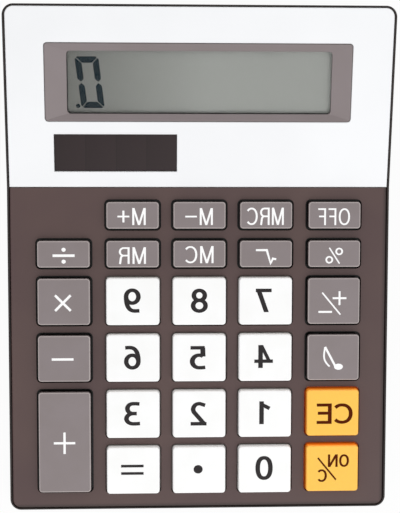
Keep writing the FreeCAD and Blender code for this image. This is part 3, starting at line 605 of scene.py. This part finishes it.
# Letters and digits in a box one wide and one high: (width of the box over its height, strokes)
glyphs = {
    "0": (0.73, [("line", arc(0.5, 0.5, 0.5, 0.5, 0, 360, 2.3))]),
    "1": (0.535, [("bar", (1, 0), (1, 1)), ("line", [(1.05, 0.94), (0.0, 0.72)])]),
    "2": (0.68, [
        ("line", [(-0.06, 0.92)] + arc(0.48, 0.72, 0.5, 0.28, 112, -28) + [(0.03, 0.0)]),
        ("bar", (0.02, 0), (1, 0)),
    ]),
    "3": (0.69, [
        ("line", [(-0.08, 0.985), (0.2, 1.0)] + arc(0.45, 0.755, 0.47, 0.245, 90, -90)),
        ("line", arc(0.44, 0.255, 0.56, 0.255, 90, -90) + [(0.2, 0.0), (-0.12, 0.015)]),
        ("bar", (0.34, 0.51), (0.5, 0.51)),
    ]),
    "4": (0.79, [
        ("thin", (0.68, 1), (0.04, 0.22)),
        ("bar", (0, 0.26), (1, 0.26)), ("bar", (0.72, 0), (0.72, 1)),
    ]),
    "5": (0.65, [
        ("bar", (0.16, 1), (0.94, 1)),
        ("line", [(0.12, 1.0), (0.09, 0.56)]),
        ("line", [(0.09, 0.56)] + arc(0.42, 0.315, 0.58, 0.315, 118, -90) + [(0.15, 0.0), (-0.1, 0.02)]),
    ]),
    "6": (0.71, [
        ("line", arc(0.5, 0.31, 0.5, 0.31, 0, 360)),
        ("line", [(1.08, 0.99)] + curve((0.72, 1.0), (0.2, 1.0), (0.0, 0.74), (0.0, 0.31))),
    ]),
    "7": (0.68, [("bar", (0, 1), (0.95, 1)), ("slant", (0.95, 1), (0.24, 0))]),
    "8": (0.71, [
        ("line", arc(0.5, 0.76, 0.44, 0.24, 0, 360)),
        ("line", arc(0.5, 0.26, 0.5, 0.26, 0, 360)),
    ]),
    "9": (0.71, [
        ("line", arc(0.5, 0.69, 0.5, 0.31, 0, 360)),
        ("line", [(-0.08, 0.01)] + curve((0.28, 0.0), (0.8, 0.0), (1.0, 0.26), (1.0, 0.69))),
    ]),
    "M": (0.79, [
        ("bar", (0, 0), (0, 1)), ("bar", (1, 0), (1, 1)),
        ("slant", (0.02, 1), (0.5, 0)), ("slant", (0.98, 1), (0.5, 0)),
    ]),
    "R": (0.64, [
        ("bar", (0, 0), (0, 1)),
        ("line", [(0, 1)] + arc(0.56, 0.75, 0.42, 0.25, 90, -90) + [(0, 0.5)]),
        ("line", curve((0.5, 0.5), (0.98, 0.52), (0.86, 0.2), (0.98, -0.06))),
    ]),
    "C": (0.73, [("line", arc(0.56, 0.5, 0.56, 0.5, 42, 318, 2.15))]),
    "O": (0.75, [("line", arc(0.5, 0.5, 0.5, 0.5, 0, 360, 2.15))]),
    "F": (0.52, [("bar", (0, 0), (0, 1)), ("bar", (0, 1), (1, 1)), ("bar", (0, 0.52), (0.86, 0.52))]),
    "E": (0.56, [
        ("bar", (0, 0), (0, 1)), ("bar", (0, 1), (1, 1)),
        ("bar", (0, 0.53), (0.9, 0.53)), ("bar", (0, 0), (1, 0)),
    ]),
    "N": (0.74, [("bar", (0, 0), (0, 1)), ("bar", (1, 0), (1, 1)), ("slant", (0.02, 1), (0.98, 0))]),
    "+": (0.7, [("bar", (0, 0.5), (1, 0.5)), ("bar", (0.5, 0.17), (0.5, 0.83))]),
    "-": (0.7, [("bar", (0, 0.5), (1, 0.5))]),
}


def glyph(letter, corner, height, pen, stretch):
    # the pieces of one letter whose box has its lower left corner at a place
    ratio, strokes = glyphs[letter]
    inner = (ratio * height * stretch - pen[0], height - pen[1])

    def place(point, level=False):
        y = point[1] * height if level else pen[1] / 2 + point[1] * inner[1]
        return (corner[0] + pen[0] / 2 + point[0] * inner[0], corner[1] + y)

    pieces = []
    for kind, *points in strokes:
        if kind == "line":
            pieces += ribbon([place(p) for p in points[0]], pen)
        elif kind == "bar":
            a, b = (place(p) for p in points)
            pieces += squareBar(a, b, pen)
        else:
            width = pen if kind == "slant" else [p * strokeRules["thinShare"] for p in pen]
            pieces += slant(place(points[0], True), place(points[1], True), width)
    return pieces


def squareBar(a, b, pen):
    # an upright or level bar, out to the pen's own edges
    x0, x1 = min(a[0], b[0]) - pen[0] / 2, max(a[0], b[0]) + pen[0] / 2
    y0, y1 = min(a[1], b[1]) - pen[1] / 2, max(a[1], b[1]) + pen[1] / 2
    return [[Vector((x0, y0)), Vector((x1, y0)), Vector((x1, y1)), Vector((x0, y1))]]


def text(letters, style, shift):
    # letters in a row, with the middle of the row and of their height at a shift from the key's middle
    height, pen, gap, stretch = (style[k] for k in ("heightMm", "penMm", "gapMm", "stretch"))
    widths = [glyphs[letter][0] * height * stretch for letter in letters]
    x = shift[0] - (sum(widths) + gap * (len(letters) - 1)) / 2
    pieces = []
    for letter, width in zip(letters, widths):
        pieces += glyph(letter, (x, shift[1] - height / 2), height, pen, stretch)
        x += width + gap
    return pieces


def unionMesh(name, pieces, thickness, place, sink=0.0, mirrored=False):
    # joins the flat pieces into one outline and gives it a small thickness
    points, faces = [], []
    for piece in pieces:
        area = sum(a.x * b.y - b.x * a.y for a, b in zip(piece, piece[1:] + piece[:1]))
        ring = piece if area > 0 else piece[::-1]
        faces.append(list(range(len(points), len(points) + len(ring))))
        points += [Vector(p) for p in ring]
    joined = delaunay_2d_cdt(points, [], faces, 0, strokeRules["weldMm"])
    verts, _, triangles, _, _, sources = joined
    shape = bmesh.new()
    sign = -1 if mirrored else 1
    corners = [shape.verts.new((v.x * mm * sign, v.y * mm, -sink * mm)) for v in verts]
    for triangle, source in zip(triangles, sources):
        if source:
            shape.faces.new([corners[i] for i in triangle])
    bmesh.ops.delete(shape, geom=[v for v in shape.verts if not v.link_faces], context="VERTS")
    straight = strokeRules["straightRadians"]
    bmesh.ops.dissolve_limit(shape, angle_limit=straight, verts=shape.verts[:], edges=shape.edges[:])
    grown = bmesh.ops.extrude_face_region(shape, geom=shape.faces[:])
    raised = [g for g in grown["geom"] if isinstance(g, bmesh.types.BMVert)]
    bmesh.ops.translate(shape, verts=raised, vec=(0, 0, (thickness + sink) * mm))
    bmesh.ops.recalc_face_normals(shape, faces=shape.faces[:])
    shape.transform(place)
    mesh = bpy.data.meshes.new(name)
    shape.to_mesh(mesh)
    shape.free()
    piece = bpy.data.objects.new(name, mesh)
    bpy.context.scene.collection.objects.link(piece)
    return piece


# Key legends. The photograph is a mirror image, so the print is mirrored too: mirrored False turns it.

legendPrint = {
    "mirrored": True,
    "filmMm": 0.03,
    "sinkMm": 0.01,
    "function": {"heightMm": 5.5, "penMm": (0.67, 0.54), "gapMm": 0.95, "stretch": 1.02, "dropMm": -0.5},
    "memory": {"heightMm": 5.5, "penMm": (0.64, 0.54), "gapMm": 0.75, "stretch": 0.92, "dropMm": -0.5},
    "number": {"heightMm": 7.85, "penMm": (1.52, 1.17), "gapMm": 0.0, "stretch": 1.0, "dropMm": 0.0},
    "clear": {"heightMm": 6.8, "penMm": (1.28, 1.0), "gapMm": 0.5, "stretch": 1.32, "dropMm": -0.7},
    "power": {"heightMm": 4.15, "penMm": (0.74, 0.62), "gapMm": 0.5, "stretch": 1.06, "dropMm": 2.0},
}

# how far each print sits off its place, in millimetres, and how much wider and taller it came out
printOffsets = {
    "key_divide": (-0.07, 0.12, 1.0, 0.97), "key_times": (0.28, 0.2, 1.026, 1.03),
    "key_minus": (0.5, 0.44, 1.0, 1.0), "key_plus": (0.08, 0.24, 1, 1),
    "key_m_plus": (0.32, 0.14, 0.995, 1.018), "key_m_minus": (0.16, 0.11, 0.975, 1.012),
    "key_mrc": (0.34, 0.18, 0.99, 1.036), "key_off": (0.22, 0.03, 0.884, 1.012),
    "key_mr": (0.11, 0.06, 0.996, 1.0), "key_mc": (0.1, 0.32, 1.0, 1.027),
    "key_root": (0.24, 0.0, 0.98, 0.99), "key_percent": (0.15, 0.06, 0.99, 0.985),
    "key_9": (0.18, 0.39, 1.0, 1.031), "key_8": (0.03, 0.27, 1.012, 1.026),
    "key_7": (0.79, 0.3, 1.02, 0.996), "key_sign": (0.1, 0.2, 1.003, 1.009),
    "key_6": (0.22, 0.3, 0.992, 1.014), "key_5": (0.4, 0.16, 1.095, 1.0),
    "key_4": (0.6, 0.46, 1.0, 0.983), "key_sound": (0.28, 0.43, 1.02, 0.95),
    "key_3": (0.22, 0.4, 1.03, 1.015), "key_2": (0.19, 0.25, 1.006, 1.013),
    "key_1": (-0.15, 0.42, 1.0, 0.982), "key_ce": (-0.67, 0.41, 1, 1.015),
    "key_equals": (0.31, 0.69, 1.0, 1.0), "key_point": (0.36, 0.69, 1.0, 1.0),
    "key_0": (0.25, 0.57, 1.012, 1.036), "key_on_c": (0.21, 0.54, 1.006, 1.034),
}


def divideSign():
    look = {"bar": 7.2, "pen": (0.88, 0.88), "dot": 0.69, "dotRise": 2.02, "middle": -0.55}
    y = look["middle"]
    half = look["bar"] / 2 - look["pen"][0] / 2
    pieces = squareBar((-half, y), (half, y), look["pen"])
    for side in (-1, 1):
        pieces += disc(0, y + side * look["dotRise"], look["dot"], look["dot"])
    return pieces


def crossSign(width, height, pen, middle):
    x, y = width / 2 - pen / 2, height / 2 - pen / 2
    pieces = squareBar((middle[0] - x, middle[1]), (middle[0] + x, middle[1]), (pen, pen))
    return pieces + squareBar((middle[0], middle[1] - y), (middle[0], middle[1] + y), (pen, pen))


def timesSign():
    look = {"half": 2.22, "pen": (0.78, 0.78), "middle": -0.55}
    pieces = []
    for side in (-1, 1):
        a = (-look["half"] * side, look["middle"] - look["half"])
        b = (look["half"] * side, look["middle"] + look["half"])
        pieces += bar(a, b, look["pen"])
    return pieces


def equalsSign():
    look = {"half": 3.3, "pen": (0.89, 0.89), "rise": 1.25, "middle": -0.3}
    pieces = []
    for side in (-1, 1):
        y = look["middle"] + side * look["rise"]
        pieces += squareBar((-look["half"], y), (look["half"], y), look["pen"])
    return pieces


def rootSign():
    look = {
        "pen": (0.87, 0.66),
        "points": [(-3.7, -1.75), (-2.55, -1.55), (-1.8, -3.1), (-0.5, 1.3), (3.2, 1.3)],
    }
    return ribbon(look["points"], look["pen"])


def percentSign():
    look = {
        "ring": 1.0, "pen": (0.58, 0.52), "rings": ((-1.75, 0.75), (1.55, -2.05)),
        "stroke": [(-1.9, -3.35), (1.55, 2.0)], "strokePen": (0.45, 0.45),
    }
    pieces = ribbon(look["stroke"], look["strokePen"])
    for x, y in look["rings"]:
        pieces += ribbon(arc(x, y, look["ring"], look["ring"], 0, 360), look["pen"])
    return pieces


def changeSign():
    # plus over minus; the plus is given by its width, height, pen and middle
    look = {
        "plus": (4.6, 4.6, 0.64, (-1.96, 0.75)),
        "stroke": [(-2.3, -4.7), (3.8, 2.6)], "strokePen": (0.5, 0.5),
        "minus": ((0.8, -3.78), (4.7, -3.78)), "minusPen": (0.62, 0.66),
    }
    pieces = crossSign(*look["plus"])
    pieces += ribbon(look["stroke"], look["strokePen"])
    return pieces + squareBar(*look["minus"], look["minusPen"])


def noteSign():
    # a quaver for the key sound: the head is given by its middle and half its width and height
    look = {
        "head": (-2.0, -3.7, 1.45, 1.08),
        "stem": [(-0.95, -3.5), (2.45, 3.35)], "stemPen": (0.7, 0.7),
        "flag": ((2.45, 3.3), (2.75, 0.6), (3.5, -1.2), (0.9, -3.6)), "flagPen": (0.55, 0.55),
    }
    pieces = disc(*look["head"])
    pieces += ribbon(look["stem"], look["stemPen"])
    return pieces + ribbon(curve(*look["flag"]), look["flagPen"])


def powerSign():
    style = legendPrint["power"]
    look = {
        "upper": (-2.3, style["dropMm"]), "lower": (3.15, -2.9),
        "stroke": [(-1.5, -4.3), (4.6, 2.95)], "strokePen": (0.56, 0.56),
    }
    pieces = text("ON", style, look["upper"])
    pieces += ribbon(look["stroke"], look["strokePen"])
    return pieces + text("C", style, look["lower"])


# the minus by its ends and pen, the plus by its width, height, pen and middle,
# the point by its middle and half its width and height
plainSigns = {
    "minus": ((-3.2, -0.6), (3.2, -0.6), (0.78, 0.78)),
    "plus": (7.1, 7.25, 0.76, (0.0, -0.4)),
    "point": (0, -0.35, 1.52, 1.44),
}


def keyLegends():
    styled = {
        "key_m_plus": ("M+", "function"), "key_m_minus": ("M-", "function"),
        "key_mrc": ("MRC", "memory"), "key_off": ("OFF", "function"),
        "key_mr": ("MR", "function"), "key_mc": ("MC", "function"), "key_ce": ("CE", "clear"),
    }
    for digit in "0123456789":
        styled["key_" + digit] = (digit, "number")
    legends = {}
    for key, (letters, style) in styled.items():
        look = legendPrint[style]
        legends[key] = text(letters, look, (0.0, look["dropMm"]))
    legends.update({
        "key_divide": divideSign(),
        "key_root": rootSign(),
        "key_percent": percentSign(),
        "key_times": timesSign(),
        "key_minus": squareBar(*plainSigns["minus"]),
        "key_plus": crossSign(*plainSigns["plus"]),
        "key_sign": changeSign(),
        "key_sound": noteSign(),
        "key_equals": equalsSign(),
        "key_point": disc(*plainSigns["point"]),
        "key_on_c": powerSign(),
    })
    return legends


def offset(pieces, shift):
    # moved, and stretched about the middle of the print
    x, y, wider, taller = shift
    xs = [p[0] for piece in pieces for p in piece]
    ys = [p[1] for piece in pieces for p in piece]
    cx, cy = (min(xs) + max(xs)) / 2, (min(ys) + max(ys)) / 2

    def moved(p):
        return Vector((cx + x + (p[0] - cx) * wider, cy + y + (p[1] - cy) * taller))

    return [[moved(p) for p in piece] for piece in pieces]


inks = {"key_white": "darkInk", "key_orange": "brownInk", "key_grey": "whiteInk"}
for key, pieces in keyLegends().items():
    legend = unionMesh(
        key.replace("key_", "legend_"),
        offset(pieces, printOffsets[key]),
        legendPrint["filmMm"],
        topFrame(key, deckUp),
        legendPrint["sinkMm"],
        legendPrint["mirrored"],
    )
    legend.data.materials.append(materials[inks[nodeSlots[key]]])
    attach(legend, key)
print("legends done")


# The figure on the display: a nought and a point, in seven-segment shapes

displayFigure = {
    "widthMm": 7.64,
    "heightMm": 16.7,
    "penMm": 2.05,
    "cutMm": 0.9,
    "gapMm": 0.16,
    "tipGaps": 1.3,
    "leanMm": 2.05,
    "taper": 0.015,
    "placeMm": (-35.63, -0.15),
    "pointMm": 0.7,
    "pointPlaceMm": (-3.85, -7.65),
    "filmMm": 0.02,
}


def quarterNought(look):
    # the upper left of the figure: half of its top bar and the bar down its side, with mitred ends
    x, y, pen = look["widthMm"] / 2, look["heightMm"] / 2, look["penMm"]
    cut, gap = look["cutMm"], look["gapMm"]
    near, far = (cut - gap) / 2, (cut + gap) / 2
    tip = gap * look["tipGaps"]
    top = [(0, 0), (-x + cut, 0), (-x + far, -near), (-x + pen + gap, -pen), (0, -pen)]
    side = [
        (-x, -cut), (-x, -y + tip + pen / 2), (-x + pen / 2, -y + tip),
        (-x + pen, -y + tip + pen / 2), (-x + pen, -pen - gap), (-x + near, -far),
    ]
    return [[(px, py + y) for px, py in piece] for piece in (top, side)]


def noughtPieces(look):
    pieces = []
    for across in (1, -1):
        for along in (1, -1):
            for piece in quarterNought(look):
                pieces.append([(px * across, py * along) for px, py in piece])
    lean = look["leanMm"] / look["heightMm"]
    widening = look["taper"] * 2 / look["heightMm"]
    pieces = [
        [Vector((px * (1 + widening * py) - lean * py, py)) for px, py in piece] for piece in pieces
    ]
    pieces += disc(*look["pointPlaceMm"], look["pointMm"], look["pointMm"])
    return [[p + Vector(look["placeMm"]) for p in piece] for piece in pieces]


displayTop = topFrame("lcd_polariser", panelUp)
figure = unionMesh("display_figure", noughtPieces(displayFigure), displayFigure["filmMm"], displayTop)
figure.data.materials.append(materials["liquidCrystal"])
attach(figure, "case")
print("display figure done")


# A painted shadow: a dark line along three sides of the display, under the window's edge

paintedWindowShadow = {
    "windowMm": (86.0, 20.35), "cornerMm": 1.2, "penMm": 0.3, "shiftMm": (0.12, 0.05), "filmMm": 0.015,
}


def roundedLine(look):
    x, y = (side / 2 for side in look["windowMm"])
    r = look["cornerMm"]
    points = [(x, y)] + arc(r - x, y - r, r, r, 90, 180) + arc(r - x, r - y, r, r, 180, 270) + [(x, -y)]
    return ribbon([Vector(p) + Vector(look["shiftMm"]) for p in points], (look["penMm"],) * 2)


windowShadowLine = unionMesh("display_painted_shadow", roundedLine(paintedWindowShadow), paintedWindowShadow["filmMm"], displayTop)
# the legends' dark ink serves here for the painted shadow
windowShadowLine.data.materials.append(materials["darkInk"])
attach(windowShadowLine, "case")
print("display line done")


# A painted shadow: the shade at the bezel's rounded edge, a fine dark line against the cover, drawn as a thin film

bezelShadowLine = {
    "cornerMm": 0.95, "penMm": 0.12, "filmMm": 0.01, "colour": "#57504f", "roughness": 0.5, "sheen": 0.2,
}


def bezelOutline(look, top):
    corners = [top.inverted() @ v.co for v in nodes["display_bezel"].data.vertices]
    x, y = (max(c[i] for c in corners) / mm - look["penMm"] / 2 for i in (0, 1))
    r = look["cornerMm"]
    quarters = ((x - r, y - r, 0), (r - x, y - r, 90), (r - x, r - y, 180), (x - r, r - y, 270))
    points = [p for cx, cy, start in quarters for p in arc(cx, cy, r, r, start, start + 90)]
    return ribbon(points + points[:1], (look["penMm"],) * 2)


# painted shade, not print: the ink shader only gives the film its sheen
materials["bezelShadowPaint"] = printedInk("bezelShadowPaint", bezelShadowLine)
bezelTop = topFrame("display_bezel", panelUp)
bezelShadowFilm = unionMesh("bezel_edge", bezelOutline(bezelShadowLine, bezelTop), bezelShadowLine["filmMm"], bezelTop)
bezelShadowFilm.data.materials.append(materials["bezelShadowPaint"])
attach(bezelShadowFilm, "case")
print("bezel edge done")


# The rubber keypad is a sheet with a dome under each key's stem.

keypad = {
    "cutOverSheetMm": 0.01, "pressedShare": 0.21,
    "weldMm": 0.001, "leastLevel": 0.99, "levelDigits": 2,  # how its corners join and its top is found
}


def keypadCut(plane, above):
    # the keypad on one side of a plane, closed where it's cut
    shape = bmesh.new()
    shape.from_mesh(nodes["rubber_keypad"].data)
    bmesh.ops.remove_doubles(shape, verts=shape.verts[:], dist=keypad["weldMm"] * mm)
    everything = shape.verts[:] + shape.edges[:] + shape.faces[:]
    bmesh.ops.bisect_plane(
        shape,
        geom=everything,
        plane_co=plane,
        plane_no=deckUp,
        clear_inner=above,
        clear_outer=not above,
    )
    rim = [e for e in shape.edges if e.is_boundary]
    bmesh.ops.triangle_fill(shape, use_beauty=True, edges=rim, normal=deckUp)
    bmesh.ops.recalc_face_normals(shape, faces=shape.faces[:])
    return shape


def keypadPiece(name, shape):
    mesh = bpy.data.meshes.new(name)
    shape.to_mesh(mesh)
    shape.free()
    mesh.materials.append(materials["siliconeRubber"])
    piece = bpy.data.objects.new(name, mesh)
    bpy.context.scene.collection.objects.link(piece)
    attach(piece, "case")
    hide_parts("rubber_keypad")
    return piece


def rubberKeypad():
    areas = {}
    for face in nodes["rubber_keypad"].data.polygons:
        if face.normal.dot(deckUp) > keypad["leastLevel"]:
            level = round(face.center.dot(deckUp) / mm, keypad["levelDigits"])
            areas[level] = areas.get(level, 0.0) + face.area
    plane = deckUp * (max(areas, key=areas.get) + keypad["cutOverSheetMm"]) * mm
    keypadPiece("keypad_sheet", keypadCut(plane, False))
    domes = keypadCut(plane, True)
    for key in printOffsets:
        low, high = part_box(key)
        shape = domes.copy()
        away = [v for v in shape.verts if not (low.x < v.co.x < high.x and low.y < v.co.y < high.y)]
        bmesh.ops.delete(shape, geom=away, context="VERTS")
        dome = keypadPiece(key.replace("key_", "keypad_dome_"), shape)
        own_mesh(dome)
    domes.free()


rubberKeypad()
print("keypad done")


# Floor, light and camera

def seenDirectly(tree):
    # one for a ray from the camera, a reflection or clear plastic, nought for light that falls on things
    path = addNode(tree, "ShaderNodeLightPath")
    seen = path.outputs["Is Camera Ray"]
    for ray in ("Is Glossy Ray", "Is Transmission Ray"):
        links = {0: seen, 1: path.outputs[ray]}
        seen = addNode(tree, "ShaderNodeMath", {"operation": "MAXIMUM"}, links).outputs["Value"]
    return seen


def studioFloor():
    # matt white paper that takes a soft shadow; seen directly it is mostly plain white light
    look = {"sizeMm": 6000, "colour": "#f2f2f2", "glow": 0.93}
    size = look["sizeMm"] * mm / 2
    mesh = bpy.data.meshes.new("floor")
    corners = [(-size, -size, 0), (size, -size, 0), (size, size, 0), (-size, size, 0)]
    mesh.from_pydata(corners, [], [(0, 1, 2, 3)])
    floor = bpy.data.objects.new("floor", mesh)
    bpy.context.scene.collection.objects.link(floor)
    material = bpy.data.materials.new("paperFloor")
    material.use_nodes = True
    tree = material.node_tree
    tree.nodes.clear()
    paper = addNode(tree, "ShaderNodeBsdfDiffuse", {"Color": linearColour(look["colour"])})
    glow = addNode(tree, "ShaderNodeEmission", {"Color": (1, 1, 1, 1), "Strength": 1.0})
    settings = {"operation": "MULTIPLY", 1: look["glow"]}
    part = addNode(tree, "ShaderNodeMath", settings, {0: seenDirectly(tree)})
    links = {0: part.outputs["Value"], 1: paper.outputs["BSDF"], 2: glow.outputs["Emission"]}
    mixed = addNode(tree, "ShaderNodeMixShader", None, links)
    addNode(tree, "ShaderNodeOutputMaterial", None, {"Surface": mixed.outputs["Shader"]})
    mesh.materials.append(material)


def softLamp(name, look):
    # a round softbox that faces the object from a bearing (0 right, 90 back) and a height in degrees
    lamp = bpy.data.lights.new(name, "AREA")
    lamp.shape = "DISK"
    lamp.size = look["sizeMm"] * mm
    lamp.energy = look["watts"]
    holder = bpy.data.objects.new(name, lamp)
    bearing, height = (math.radians(a) for a in look["bearingHeight"])
    level = math.cos(height)
    direction = Vector((level * math.cos(bearing), level * math.sin(bearing), math.sin(height)))
    holder.location = direction * look["awayMm"] * mm
    holder.rotation_euler = (-holder.location).to_track_quat("-Z", "Y").to_euler()
    bpy.context.scene.collection.objects.link(holder)


def studioRoom():
    # even light from all round; a ray from the camera or a reflection sees plain white
    look = {"strength": 0.8, "seenStrength": 1.0}
    world = bpy.data.worlds.new("room")
    world.use_nodes = True
    tree = world.node_tree
    tree.nodes.clear()
    settings = {"To Min": look["strength"], "To Max": look["seenStrength"]}
    power = addNode(tree, "ShaderNodeMapRange", settings, {"Value": seenDirectly(tree)})
    links = {"Strength": power.outputs["Result"]}
    sky = addNode(tree, "ShaderNodeBackground", {"Color": (1, 1, 1, 1)}, links)
    addNode(tree, "ShaderNodeOutputWorld", None, {"Surface": sky.outputs["Background"]})
    bpy.context.scene.world = world


studioFloor()
studioRoom()
softboxes = {
    "frontLamp": {"bearingHeight": (-88, 50), "awayMm": 900, "sizeMm": 500, "watts": 1.2},
    "rightLamp": {"bearingHeight": (-42, 50), "awayMm": 900, "sizeMm": 500, "watts": 1.05},
}
for name, look in softboxes.items():
    softLamp(name, look)
bpy.context.scene.view_settings.view_transform = "Standard"

# The camera looks straight down, a little to the left of the middle
shot = {
    "placeMm": (-17.47, 0.6, 430.71),
    "turnDegrees": (0.247, -2.470, -0.132),
    "focalPixels": 1241.0,
    "framePixels": (400, 513),
    "sensorMm": 36.0,
    "nearestMm": 10,
}
lens = bpy.data.cameras.new("camera")
lens.sensor_width = shot["sensorMm"]
lens.lens = shot["focalPixels"] * lens.sensor_width / max(shot["framePixels"])
lens.clip_start = shot["nearestMm"] * mm
camera = bpy.data.objects.new("camera", lens)
camera.location = [c * mm for c in shot["placeMm"]]
camera.rotation_euler = [math.radians(a) for a in shot["turnDegrees"]]
bpy.context.scene.collection.objects.link(camera)
bpy.context.scene.camera = camera
print("floor, light and camera done")
